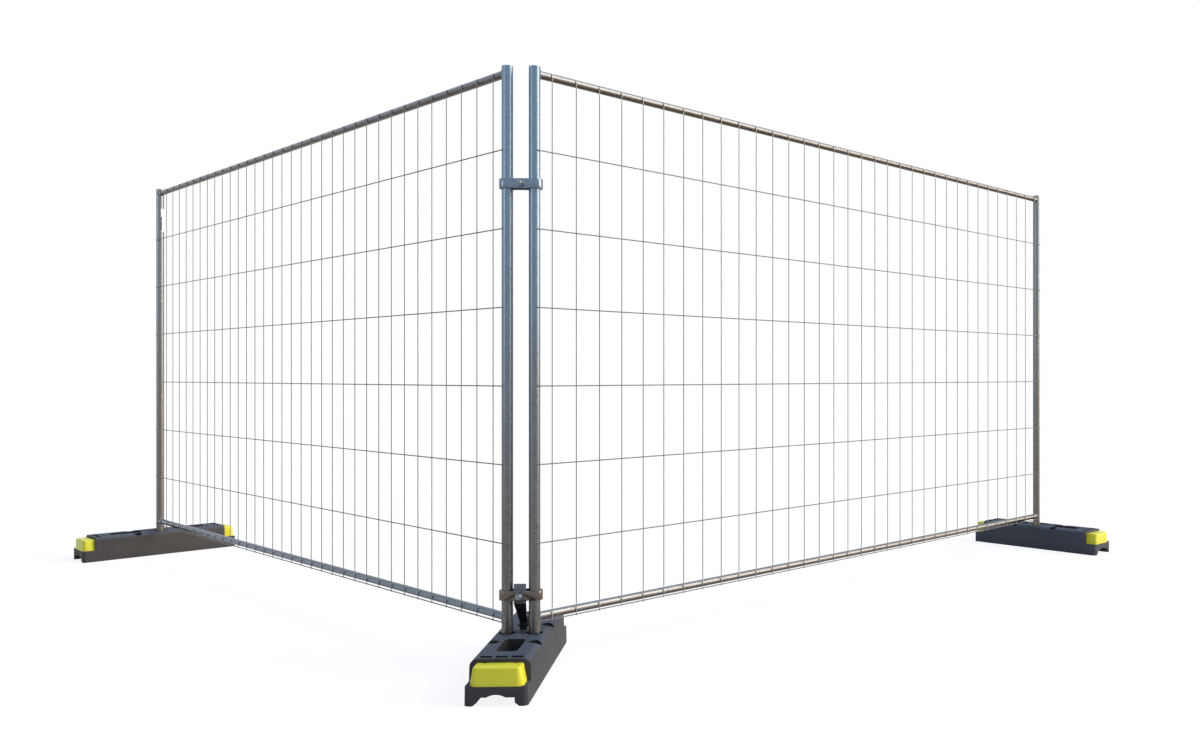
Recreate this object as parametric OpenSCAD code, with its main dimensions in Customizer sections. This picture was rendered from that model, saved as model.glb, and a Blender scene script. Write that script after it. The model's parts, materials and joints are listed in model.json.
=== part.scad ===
// Corner of two temporary fence panels: welded mesh panels in moulded feet, clamped by couplers.
// Origin at the middle of the corner foot's underside, +X to the right, +Y into the corner, +Z up.

/* [Panel] */
// Width of a panel over both posts
panel_width = 3455; // [1000:5:4000]
// Length of a post, which is the height of a panel
panel_height = 2000; // [1000:5:2400]
// Angle between the two panels in degrees
corner_angle = 90; // [40:5:180]

/* [Posts and rails] */
// Outside diameter of a post
post_d = 38; // [32:0.5:44]
// Wall of a post
post_wall = 2; // [1:0.1:4]
// Outside diameter of a rail
rail_d = 27; // [20:0.5:30]
// Wall of a rail
rail_wall = 1.5; // [1:0.1:4]
// Top of a post down to the axis of the top rail
top_rail_drop = 24; // [20:1:200]
// Foot of a post up to the axis of the bottom rail
bottom_rail_rise = 161; // [155:1:300]

/* [Mesh] */
// Distance between neighbouring upright wires
wire_pitch = 100; // [50:1:200]
// Diameter of an upright wire
upright_wire_d = 3; // [2:0.1:6]
// Distance between neighbouring level wires
row_pitch = 262; // [100:1:400]
// Diameter of a level wire
level_wire_d = 4; // [2:0.1:6]
// Axis of the bottom rail down to the lowest level wire
lowest_row_drop = 15; // [12:0.5:22]
// Least distance from a post's axis to the first upright wire
wire_edge_room = 45; // [35:1:80]
// Least distance from the highest level wire to the axis of the top rail
row_edge_room = 60; // [30:1:120]
// Length of a level wire past the axis of a post
level_wire_lap = 2; // [1:1:18]
// Length of an upright wire past the axis of the top rail
upright_wire_lap = 8; // [0:1:12]
// Length of an upright wire past the lowest level wire
upright_wire_tail = 5; // [3:0.5:8]
// Room between welded pieces, filled by the weld
weld_gap = 0.1; // [0.05:0.01:0.3]

/* [Foot block] */
// Length of a foot block
block_length = 760; // [600:5:900]
// Width of a foot block at its base
block_width = 190; // [176:1:260]
// Height of a foot block
block_height = 126; // [112:1:140]
// Lean of the block's long sides in degrees
side_lean = 1.4; // [0.5:0.1:3]
// Radius of the block's round shoulders
shoulder_radius = 24; // [12:1:26]
// Radius of the block's four upright corners
corner_radius = 20; // [8:1:30]
// Length of the low ledge at each end of the block
ledge_length = 60; // [20:1:70]
// Height of the ledge's ears beside a cap
ledge_height = 59; // [54:1:80]
// Depth of the seat under a cap below the ears
cap_seat_drop = 2; // [1:0.5:12]
// Width of the seat under a cap
cap_seat_width = 166; // [160:1:182]

/* [Foot arches] */
// Depth of the arch at each end of the block
arch_length = 165; // [60:5:200]
// Width of the arch at the ground
arch_foot_width = 140; // [120:1:150]
// Width of the arch between its upright walls
arch_width = 112; // [96:1:118]
// Height over which the arch flares out to the ground
arch_flare_height = 11; // [4:1:14]
// Height of the arch's flat ceiling
arch_height = 26; // [16:1:30]
// Rise of the crown above the ceiling
arch_crown_rise = 8; // [2:1:10]
// Width of the crown
arch_crown_width = 56; // [40:1:92]

/* [Foot openings] */
// Distance between the axes of the two post sockets
socket_spacing = 90; // [84:1:96]
// Room round a post in its socket
socket_clearance = 0.4; // [0.1:0.05:0.5]
// Thickness of the block under a socket
socket_floor = 19; // [10:1:40]
// Room between a post's end and the socket's floor
socket_end_gap = 0.3; // [0.1:0.1:1]
// Width of the recess rim round a socket
recess_rim = 8; // [4:0.5:10]
// Depth of the recess round a socket
recess_depth = 6; // [2:0.5:10]
// Length of a hand hole at the top
hand_hole_length = 154; // [100:1:160]
// Width of a hand hole at the top
hand_hole_width = 68; // [50:1:74]
// Corner radius of a hand hole at the base
hand_hole_radius = 6; // [3:1:12]
// How far each wall of a hand hole leans in from top to base
hand_hole_lean = 9; // [2:1:12]
// Distance from the block's middle to the middle of a hand hole
hand_hole_offset = 158; // [142:1:175]
// Radius of an edge dimple
dimple_radius = 21; // [5:0.5:22]
// Depth of an edge dimple
dimple_depth = 14; // [4:0.5:18]
// Distance of an edge dimple's middle from the edge of the flat top
dimple_inset = 0.5; // [0:0.5:8]
// Distance from the block's middle to an edge dimple, along the block
dimple_offset = 118; // [60:1:130]
// Width of a clip slot behind a cap
clip_slot_width = 38; // [16:1:40]
// Length of a clip slot along the block
clip_slot_length = 24; // [5:1:30]
// Depth of a clip slot
clip_slot_depth = 6; // [3:0.5:10]
// Wall between a clip slot and the cap
clip_slot_wall = 10; // [6:1:16]
// Distance between neighbouring clip slots
clip_pitch = 47; // [38:1:50]

/* [End cap] */
// Height of a cap above its seat
cap_height = 57; // [44:1:66]
// Width of a cap at its base
cap_base_width = 164; // [150:1:178]
// Width of a cap at its top
cap_top_width = 145; // [110:1:156]
// Radius of a cap's upright corners at its base
cap_base_radius = 22; // [14:1:30]
// Radius of a cap's upright corners at its top
cap_top_radius = 13; // [11:1:24]
// Radius of the round edge along a cap's top
cap_edge_radius = 6; // [3:0.5:10]
// How far the cap's front stands back from the end of the block
cap_set_back = 3; // [1:0.5:8]
// How far the cap's front leans back from its base to its top
cap_face_lean = 3; // [1:0.5:8]
// Width of a notch in the cap's top edge
cap_notch_width = 8; // [4:0.5:12]
// Length of a notch in the cap's top edge
cap_notch_length = 6; // [3:0.5:8]
// Depth of a notch in the cap's top edge
cap_notch_depth = 5; // [2:0.5:8]

/* [Coupler] */
// Height of the upper coupler's middle above the ground
upper_coupler_height = 1626; // [1540:1:1690]
// Height of the lower coupler's middle above the ground
lower_coupler_height = 254; // [240:1:300]
// Height of a coupler's straps
strap_height = 32; // [20:1:40]
// Thickness of a coupler's straps
strap_wall = 5; // [3:0.5:8]
// Room between a strap and a post it grips
grip_gap = 0.3; // [0.2:0.05:0.6]
// Extra room beside each post at the strap's bend
bend_room = 3; // [0:0.5:6]
// Gap between the front and the rear strap
split_gap = 4; // [1:0.5:10]
// Radius of the bolt
bolt_radius = 7; // [4:0.5:8]
// Room round the bolt in the straps
bolt_clearance = 0.5; // [0.3:0.1:1]
// Radius of the bolt's domed head
bolt_head_radius = 15; // [10:0.5:18]
// Height of the bolt's domed head
bolt_head_height = 8; // [4:0.5:10]
// Length of bolt that shows past the nut
bolt_end = 5; // [1:0.5:10]
// Outer radius of the washer
washer_radius = 15; // [11:0.5:15.5]
// Thickness of the washer
washer_thickness = 2.5; // [1:0.5:4]
// Width of the nut across its flats
nut_flats = 22; // [16:0.5:26]
// Thickness of the nut
nut_thickness = 11; // [6:0.5:14]
// Room round the bolt in the nut
nut_clearance = 0.1; // [0.05:0.01:0.2]
// Room between the nut and the washer
nut_gap = 0.3; // [0.1:0.1:1]

/* [Anti-lift strap] */
// Thickness of the anti-lift strap
lift_wall = 6; // [3:0.5:8]
// Width of the strap at the coupler
lift_head_width = 40; // [34:1:44]
// Width of the strap's tongue in the block
lift_tongue_width = 24; // [16:1:30]
// Length of the strap above the bolt
lift_head_rise = 39; // [24:1:60]
// Distance from the lower coupler down to the strap's upper bend
lift_bend_drop = 10; // [6:1:20]
// Height of the strap's lower bend above the block
lift_bend_rise = 26; // [20:1:40]
// Distance from the posts' line back to the tongue's middle
lift_tongue_offset = 45; // [36:1:50]
// Depth of the tongue in the block
lift_tongue_depth = 66; // [30:1:80]
// Room round the tongue in its slot
lift_slot_gap = 0.8; // [0.4:0.1:2]
// Depth of the slot past the tongue's end
lift_slot_end = 4; // [1:1:10]

/* [Hidden] */
$fn = 48;
// Cuts run this far past the faces they open
overrun = 2;
// Thin slices that a cap is drawn between have this thickness
slice = 0.5;
// Steps in the round edge along a cap's top
cap_edge_steps = 4;

post_r = post_d / 2;
rail_r = rail_d / 2;
panel_span = panel_width - post_d;
post_base = socket_floor + socket_end_gap;
top_rail_z = post_base + panel_height - top_rail_drop;
bottom_rail_z = post_base + bottom_rail_rise;
lowest_row_z = bottom_rail_z - lowest_row_drop;
row_count = floor((top_rail_z - row_edge_room - lowest_row_z) / row_pitch) + 1;
wire_count = floor((panel_span - 2 * wire_edge_room) / wire_pitch) + 1;
first_wire_x = (panel_span - (wire_count - 1) * wire_pitch) / 2;

// The panel's front is its -Y side: rails behind the uprights, uprights behind the level wires
upright_y = -(post_r - upright_wire_d / 2);
level_y = -(post_r + weld_gap + level_wire_d / 2);
rail_y = -(post_r - upright_wire_d - weld_gap - rail_r);
cope_r = post_r + weld_gap;

socket_r = post_r + socket_clearance;
recess_r = socket_r + recess_rim;
body_length = block_length - 2 * ledge_length;
cap_seat_height = ledge_height - cap_seat_drop;
cap_depth = ledge_length - cap_set_back;
crown_r = (pow(arch_crown_width / 2, 2) + pow(arch_crown_rise, 2)) / (2 * arch_crown_rise);
// A shoulder's round touches the flat top and the leaning side
shoulder_z = block_height - shoulder_radius;
shoulder_x = block_width / 2 - shoulder_z * tan(side_lean) - shoulder_radius / cos(side_lean);
shoulder_side_x = shoulder_x + shoulder_radius * cos(side_lean);
shoulder_side_z = shoulder_z + shoulder_radius * sin(side_lean);
dimple_x = shoulder_x - dimple_inset;
clip_slot_y = body_length / 2 - clip_slot_wall - clip_slot_length / 2;

coupler_inner_r = post_r + grip_gap;
coupler_outer_r = coupler_inner_r + strap_wall;
coupler_half_span = socket_spacing / 2 + bend_room;
coupler_reach = coupler_half_span + coupler_outer_r;
bolt_hole_r = bolt_radius + bolt_clearance;
nut_y = -(coupler_outer_r + washer_thickness + nut_gap);
bolt_end_y = nut_y - nut_thickness - bolt_end;
dome_r = (pow(bolt_head_radius, 2) + pow(bolt_head_height, 2)) / (2 * bolt_head_height);

// The anti-lift strap hangs against the inside of the lower coupler's front strap
lift_head_y = -coupler_inner_r + lift_wall / 2;
lift_head_top = lower_coupler_height + lift_head_rise;
lift_upper_bend_z = lower_coupler_height - strap_height / 2 - lift_bend_drop;
lift_lower_bend_z = block_height + lift_bend_rise;
lift_tongue_end_z = block_height - lift_tongue_depth;
lift_lean = atan2(lift_tongue_offset - lift_head_y, lift_upper_bend_z - lift_lower_bend_z);
lift_mitre = lift_wall / 2 * tan(lift_lean / 2);
slot_width = lift_tongue_width + 2 * lift_slot_gap;
slot_wall = lift_wall + 2 * lift_slot_gap;
slot_floor_z = lift_tongue_end_z - lift_slot_end;

galvanised = "LightSlateGray";
wire_grey = "Silver";
moulded_black = "DimGray";
cap_yellow = "Gold";
bar_black = "Black";
zinc = "LightSteelBlue";

// Places that pieces are drawn in

// The right panel's own frame: along +X from its corner post, front towards -Y
module right_panel() {
    translate([socket_spacing / 2, 0, 0]) rotate(90 - corner_angle / 2) children();
}

module left_panel() {
    mirror([1, 0, 0]) right_panel() children();
}

// A far foot's own frame, with one of its sockets under the panel's far post
module at_far_foot() {
    translate([panel_span + socket_spacing / 2, 0, 0]) children();
}

// A coupler's bolt axis, pointing to the front
module along_bolt(height) {
    translate([0, 0, height]) rotate([90, 0, 0]) children();
}

// Panel pieces

module post(x) {
    color(galvanised) translate([x, 0, post_base]) difference() {
        cylinder(h = panel_height, r = post_r);
        translate([0, 0, -overrun]) cylinder(h = panel_height + 2 * overrun, r = post_r - post_wall);
    }
}

module rail(z) {
    color(galvanised) difference() {
        translate([0, rail_y, z]) rotate([0, 90, 0]) difference() {
            cylinder(h = panel_span, r = rail_r);
            translate([0, 0, -overrun]) cylinder(h = panel_span + 2 * overrun, r = rail_r - rail_wall);
        }
        for (x = [0, panel_span]) {
            translate([x, 0, z - rail_d]) cylinder(h = 2 * rail_d, r = cope_r);
        }
    }
}

module upright_wires() {
    base_z = lowest_row_z - upright_wire_tail;
    length = top_rail_z + upright_wire_lap - base_z;
    color(wire_grey) for (i = [0 : wire_count - 1]) {
        translate([first_wire_x + i * wire_pitch, upright_y, base_z]) cylinder(h = length, d = upright_wire_d);
    }
}

module level_wires() {
    length = panel_span + 2 * level_wire_lap;
    color(wire_grey) for (i = [0 : row_count - 1]) {
        translate([-level_wire_lap, level_y, lowest_row_z + i * row_pitch]) rotate([0, 90, 0])
            cylinder(h = length, d = level_wire_d);
    }
}

// Foot pieces, drawn about the middle of a foot's underside with its length along Y

// Stands a drawing of the foot's cross-section up and runs it along the foot, centred
module along_foot(length) {
    translate([0, length / 2, 0]) rotate([90, 0, 0]) linear_extrude(length) children();
}

module block_section() {
    polygon([
        [-block_width / 2, 0], [block_width / 2, 0],
        [shoulder_side_x, shoulder_side_z], [shoulder_x, block_height],
        [-shoulder_x, block_height], [-shoulder_side_x, shoulder_side_z]
    ]);
    for (x = [-1, 1]) {
        translate([x * shoulder_x, shoulder_z]) circle(shoulder_radius);
    }
}

module arch_section() {
    polygon([
        [-arch_foot_width / 2, -overrun], [arch_foot_width / 2, -overrun],
        [arch_foot_width / 2, 0], [arch_width / 2, arch_flare_height], [arch_width / 2, arch_height],
        [-arch_width / 2, arch_height], [-arch_width / 2, arch_flare_height], [-arch_foot_width / 2, 0]
    ]);
    intersection() {
        translate([0, arch_height + arch_crown_rise - crown_r]) circle(crown_r, $fn = 96);
        translate([-arch_crown_width / 2, 0]) square([arch_crown_width, arch_height + arch_crown_rise]);
    }
}

module rounded_outline(width, length, radius) {
    square([width - 2 * radius, length], center = true);
    square([width, length - 2 * radius], center = true);
    for (x = [-1, 1], y = [-1, 1]) {
        translate([x * (width / 2 - radius), y * (length / 2 - radius)]) circle(radius);
    }
}

// A hole's wall leans in by this much from the block's top down to a height
function hole_lean(z) = hand_hole_lean * (block_height - z) / block_height;

// Side view of a hole between two leaning walls, which keep their slope past the top and the base
module hole_side_view(crest) {
    top_z = block_height + overrun;
    top_half = crest / 2 - hole_lean(top_z);
    base_half = crest / 2 - hole_lean(-overrun);
    polygon([[-base_half, -overrun], [base_half, -overrun], [top_half, top_z], [-top_half, top_z]]);
}

// The hole's round corners are cones about upright axes, so they follow the lean of its walls
module hand_hole() {
    top_radius = hand_hole_radius + hand_hole_lean;
    corner_x = hand_hole_width / 2 - top_radius;
    corner_y = hand_hole_length / 2 - top_radius;
    along_foot(2 * corner_y) hole_side_view(hand_hole_width);
    rotate(90) along_foot(2 * corner_x) hole_side_view(hand_hole_length);
    for (x = [-1, 1], y = [-1, 1]) {
        translate([x * corner_x, y * corner_y, -overrun])
            cylinder(h = block_height + 2 * overrun, r1 = top_radius - hole_lean(-overrun),
                     r2 = top_radius - hole_lean(block_height + overrun));
    }
}

module block_body() {
    along_foot(body_length) block_section();
    intersection() {
        along_foot(block_length) intersection() {
            block_section();
            translate([-block_width / 2, 0]) square([block_width, ledge_height]);
        }
        translate([0, 0, -overrun]) linear_extrude(block_height)
            rounded_outline(block_width + 2 * overrun, block_length, corner_radius);
    }
}

module end_cuts() {
    seat_depth = ledge_height - cap_seat_height + overrun;
    translate([-cap_seat_width / 2, body_length / 2, cap_seat_height])
        cube([cap_seat_width, ledge_length + overrun, seat_depth]);
    translate([0, block_length / 2 - arch_length / 2 + overrun / 2, 0])
        along_foot(arch_length + overrun) arch_section();
    for (i = [-1 : 1]) {
        translate([i * clip_pitch - clip_slot_width / 2, clip_slot_y - clip_slot_length / 2,
                   block_height - clip_slot_depth])
            cube([clip_slot_width, clip_slot_length, clip_slot_depth + overrun]);
    }
    translate([0, hand_hole_offset, 0]) hand_hole();
}

module socket_cuts() {
    translate([0, 0, socket_floor]) cylinder(h = block_height, r = socket_r);
    translate([0, 0, block_height - recess_depth]) cylinder(h = recess_depth + overrun, r = recess_r);
}

module edge_dimples() {
    for (y = [-1, 1]) {
        translate([dimple_x, y * dimple_offset, block_height - dimple_depth])
            cylinder(h = dimple_depth + overrun, r = dimple_radius);
    }
}

module foot_block() {
    color(moulded_black) difference() {
        block_body();
        end_cuts();
        mirror([0, 1, 0]) end_cuts();
        for (side = [0, 1]) {
            mirror([side, 0, 0]) {
                translate([socket_spacing / 2, 0, 0]) socket_cuts();
                edge_dimples();
            }
        }
        translate([-slot_width / 2, lift_tongue_offset - slot_wall / 2, slot_floor_z])
            cube([slot_width, slot_wall, block_height]);
    }
}

// A thin upright slice of a cap, straight at its seat and rounded at its upper corners
// Outline of a cap seen from above, its straight back edge against the block
module cap_outline(width, depth, radius) {
    hull() {
        translate([-width / 2, 0]) square([width, slice]);
        for (x = [-1, 1]) {
            translate([x * (width / 2 - radius), depth - radius]) circle(radius, $fn = 32);
        }
    }
}

module rear_cap() {
    color(cap_yellow) translate([0, body_length / 2, cap_seat_height]) difference() {
        hull() {
            linear_extrude(slice) cap_outline(cap_base_width, cap_depth, cap_base_radius);
            for (angle = [0 : 90 / cap_edge_steps : 90]) {
                inset = cap_edge_radius * (1 - cos(angle));
                drop = cap_edge_radius * (1 - sin(angle)) + slice;
                translate([0, 0, cap_height - drop]) linear_extrude(slice)
                    cap_outline(cap_top_width - 2 * inset, cap_depth - cap_face_lean - inset, cap_top_radius - inset);
            }
        }
        for (x = [-1, 1]) {
            translate([x * clip_pitch - cap_notch_width / 2, -overrun, cap_height - cap_notch_depth])
                cube([cap_notch_width, cap_notch_length + overrun, cap_notch_depth + overrun]);
        }
    }
}

module front_cap() {
    mirror([0, 1, 0]) rear_cap();
}

// Coupler pieces

// Outline of a band that runs round both posts, seen from above
module band_outline(radius) {
    square([2 * coupler_half_span, 2 * radius], center = true);
    for (x = [-1, 1]) {
        translate([x * coupler_half_span, 0]) circle(radius);
    }
}

module front_strap(height) {
    color(galvanised) difference() {
        translate([0, 0, height - strap_height / 2]) linear_extrude(strap_height) difference() {
            band_outline(coupler_outer_r);
            band_outline(coupler_inner_r);
            translate([-coupler_reach - overrun, -split_gap / 2])
                square([2 * (coupler_reach + overrun), coupler_outer_r + split_gap]);
        }
        along_bolt(height) cylinder(h = coupler_outer_r + overrun, r = bolt_hole_r);
    }
}

module rear_strap(height) {
    mirror([0, 1, 0]) front_strap(height);
}

module bolt(height) {
    color(zinc) along_bolt(height) {
        translate([0, 0, -coupler_outer_r]) cylinder(h = coupler_outer_r - bolt_end_y, r = bolt_radius);
        translate([0, 0, -coupler_outer_r]) intersection() {
            translate([0, 0, dome_r - bolt_head_height]) sphere(dome_r, $fn = 96);
            translate([0, 0, -bolt_head_height]) cylinder(h = bolt_head_height, r = bolt_head_radius);
        }
    }
}

module washer(height) {
    color(zinc) along_bolt(height) translate([0, 0, coupler_outer_r]) difference() {
        cylinder(h = washer_thickness, r = washer_radius);
        translate([0, 0, -overrun]) cylinder(h = washer_thickness + 2 * overrun, r = bolt_hole_r);
    }
}

module nut(height) {
    color(zinc) along_bolt(height) translate([0, 0, -nut_y]) difference() {
        cylinder(h = nut_thickness, r = nut_flats / sqrt(3), $fn = 6);
        translate([0, 0, -overrun])
            cylinder(h = nut_thickness + 2 * overrun, r = bolt_radius + nut_clearance);
    }
}

// Side view of the joggled bar, as height over distance behind the posts' line
module lift_side_view() {
    half = lift_wall / 2;
    polygon([
        [lift_head_y - half, lift_head_top], [lift_head_y + half, lift_head_top],
        [lift_head_y + half, lift_upper_bend_z + lift_mitre],
        [lift_tongue_offset + half, lift_lower_bend_z + lift_mitre],
        [lift_tongue_offset + half, lift_tongue_end_z], [lift_tongue_offset - half, lift_tongue_end_z],
        [lift_tongue_offset - half, lift_lower_bend_z - lift_mitre],
        [lift_head_y - half, lift_upper_bend_z - lift_mitre]
    ]);
}

// Front view of the bar, which narrows between its bends
module lift_front_view() {
    polygon([
        [-lift_head_width / 2, lift_head_top], [-lift_head_width / 2, lift_upper_bend_z],
        [-lift_tongue_width / 2, lift_lower_bend_z], [-lift_tongue_width / 2, lift_tongue_end_z],
        [lift_tongue_width / 2, lift_tongue_end_z], [lift_tongue_width / 2, lift_lower_bend_z],
        [lift_head_width / 2, lift_upper_bend_z], [lift_head_width / 2, lift_head_top]
    ]);
}

module anti_lift_bar() {
    depth = 2 * (lift_tongue_offset + lift_wall);
    color(bar_black) difference() {
        intersection() {
            rotate([90, 0, 90]) translate([0, 0, -lift_head_width]) linear_extrude(2 * lift_head_width)
                lift_side_view();
            translate([0, depth / 2, 0]) rotate([90, 0, 0]) linear_extrude(depth) lift_front_view();
        }
        along_bolt(lower_coupler_height) cylinder(h = coupler_outer_r, r = bolt_hole_r);
    }
}

left_panel() post(0);  // left_corner_post
left_panel() post(panel_span);  // left_far_post
left_panel() rail(top_rail_z);  // left_top_rail
left_panel() rail(bottom_rail_z);  // left_bottom_rail
left_panel() upright_wires();  // left_upright_wires
left_panel() level_wires();  // left_level_wires
right_panel() post(0);  // right_corner_post
right_panel() post(panel_span);  // right_far_post
right_panel() rail(top_rail_z);  // right_top_rail
right_panel() rail(bottom_rail_z);  // right_bottom_rail
right_panel() upright_wires();  // right_upright_wires
right_panel() level_wires();  // right_level_wires
foot_block();  // corner_block
front_cap();  // corner_front_cap
rear_cap();  // corner_rear_cap
left_panel() at_far_foot() foot_block();  // left_block
left_panel() at_far_foot() front_cap();  // left_front_cap
left_panel() at_far_foot() rear_cap();  // left_rear_cap
right_panel() at_far_foot() foot_block();  // right_block
right_panel() at_far_foot() front_cap();  // right_front_cap
right_panel() at_far_foot() rear_cap();  // right_rear_cap
front_strap(upper_coupler_height);  // upper_front_strap
rear_strap(upper_coupler_height);  // upper_rear_strap
bolt(upper_coupler_height);  // upper_bolt
washer(upper_coupler_height);  // upper_washer
nut(upper_coupler_height);  // upper_nut
front_strap(lower_coupler_height);  // lower_front_strap
rear_strap(lower_coupler_height);  // lower_rear_strap
bolt(lower_coupler_height);  // lower_bolt
washer(lower_coupler_height);  // lower_washer
nut(lower_coupler_height);  // lower_nut
anti_lift_bar();  // anti_lift_strap
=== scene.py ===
import json
import math

import bmesh
import bpy
from mathutils import Matrix, Vector
from mathutils.bvhtree import BVHTree


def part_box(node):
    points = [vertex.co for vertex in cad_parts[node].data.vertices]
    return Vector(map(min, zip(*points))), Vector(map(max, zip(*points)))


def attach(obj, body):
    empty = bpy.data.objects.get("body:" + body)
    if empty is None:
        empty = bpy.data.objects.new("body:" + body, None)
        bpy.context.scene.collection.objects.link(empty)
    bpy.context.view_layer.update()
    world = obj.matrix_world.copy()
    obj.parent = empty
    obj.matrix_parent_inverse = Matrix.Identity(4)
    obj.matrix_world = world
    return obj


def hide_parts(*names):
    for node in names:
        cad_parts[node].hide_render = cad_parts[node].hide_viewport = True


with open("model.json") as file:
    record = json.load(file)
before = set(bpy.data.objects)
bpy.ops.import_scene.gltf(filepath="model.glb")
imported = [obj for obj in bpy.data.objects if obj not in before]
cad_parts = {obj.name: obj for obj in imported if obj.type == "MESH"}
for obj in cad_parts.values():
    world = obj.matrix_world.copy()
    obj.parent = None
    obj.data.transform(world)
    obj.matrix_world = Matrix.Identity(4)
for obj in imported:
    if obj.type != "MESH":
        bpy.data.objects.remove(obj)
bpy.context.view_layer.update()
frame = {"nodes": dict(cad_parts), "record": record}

nodes = frame["nodes"]
mounts = {m["name"]: m for m in frame["record"]["mounts"]}
print("frame loaded:", len(nodes), "nodes")


# places worked out from the frame

def middle(node):
    low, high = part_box(node)
    return (low + high) / 2


def flat(point):
    return Vector((point[0], point[1], 0))


postNames = ("left_corner", "left_far", "right_corner", "right_far")
postAxis = {name: flat(middle(name + "_post")) for name in postNames}
along = postAxis["right_far"] - postAxis["right_corner"]
panelSpan = along.length
turn = math.atan2(along.y, along.x)        # how far the right panel is swung from +X

# each panel's own frame: +X along the panel, front towards -Y; the left one starts at its far post
panelPlace = {
    "left": Matrix.Translation(postAxis["left_far"]) @ Matrix.Rotation(-turn, 4, "Z"),
    "right": Matrix.Translation(postAxis["right_corner"]) @ Matrix.Rotation(turn, 4, "Z"),
}
# each foot's own frame: its length along Y, its base in the middle
footPlace = {
    "corner": Matrix.Translation(mounts["corner_base"]["pos_m"]),
    "left": Matrix.Translation(mounts["left_base"]["pos_m"]) @ Matrix.Rotation(-turn, 4, "Z"),
    "right": Matrix.Translation(mounts["right_base"]["pos_m"]) @ Matrix.Rotation(turn, 4, "Z"),
}
railParts = ("top_rail", "bottom_rail")
footBody = {"corner": "corner", "left": "left_foot", "right": "right_foot"}
couplerBody = {"upper": "upper_coupler", "lower": "corner"}


# colours and nodes

def linearColour(hexText):
    parts = [int(hexText[i:i + 2], 16) / 255 for i in (1, 3, 5)]
    return [c / 12.92 if c <= 0.04045 else ((c + 0.055) / 1.055) ** 2.4 for c in parts] + [1.0]


def addNode(tree, kind, settings=None, values=None, links=None):
    node = tree.nodes.new(kind)
    for name, value in (settings or {}).items():
        setattr(node, name, value)
    for socket, value in (values or {}).items():
        node.inputs[socket].default_value = value
    for socket, source in (links or {}).items():
        tree.links.new(source, node.inputs[socket])
    return node


def perMetre(millimetres):
    return 1000 / millimetres        # texture scale that gives one cell this size


def startMaterial(name, values):
    material = bpy.data.materials.new(name)
    material.use_nodes = True
    tree = material.node_tree
    shader = tree.nodes["Principled BSDF"]
    for socket, value in values.items():
        shader.inputs[socket].default_value = value
    spot = addNode(tree, "ShaderNodeTexCoord").outputs["Object"]
    return material, tree, shader, spot


# a fine grain that breaks up the shine, drawn coarser than the real one so that it shows
def addGrain(tree, shader, spot, look):
    grain = addNode(tree, "ShaderNodeTexNoise",
                    values={"Scale": perMetre(look["grainMm"]), "Detail": look["grainDetail"]},
                    links={"Vector": spot})
    bump = addNode(tree, "ShaderNodeBump",
                   values={"Strength": look["relief"], "Distance": look["reliefDepth"]},
                   links={"Height": grain.outputs["Fac"]})
    tree.links.new(bump.outputs[0], shader.inputs["Normal"])


# hot-dip galvanised steel: dull zinc with a soft crystal spangle, blue-grey with painted sky
# reflection higher up and on faces that look up, dust-brown with painted ground reflection near the
# ground, and painted shade underneath
postLook = {
    "cleanWithPaintedSky": "#647c93", "dustWithPaintedLight": "#595754", "under": "#43392f", "bright": "#cdd5dc",
    "dustLightLow": 0.2, "dustLightHigh": 1.9,        # heights in metres between which the dust and painted ground reflection thin out into painted sky reflection
    "tilt": 1.2,        # how many metres higher a face that looks straight up counts as, so that it takes more painted sky reflection
    "underFrom": 0.05, "underFull": -0.6,        # the upward look where the painted shade underneath starts and is full
    "patchMm": 140, "patchRise": 0.35,        # patches shift the dust and painted light by up to this many metres
    "spangleMm": 9, "spangle": 0.12, "spangleRough": 0.03,
    "streakMm": 14, "stretch": (1, 1, 0.05),
    "railLightHeights": (),        # metres, where the wire is painted in a rail's lit tone; none but on wires
    "metallic": 0.9, "smooth": 0.28, "rough": 0.38,
    "grainMm": 1.6, "grainDetail": 2, "relief": 0.02, "reliefDepth": 0.0004,
}


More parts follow.
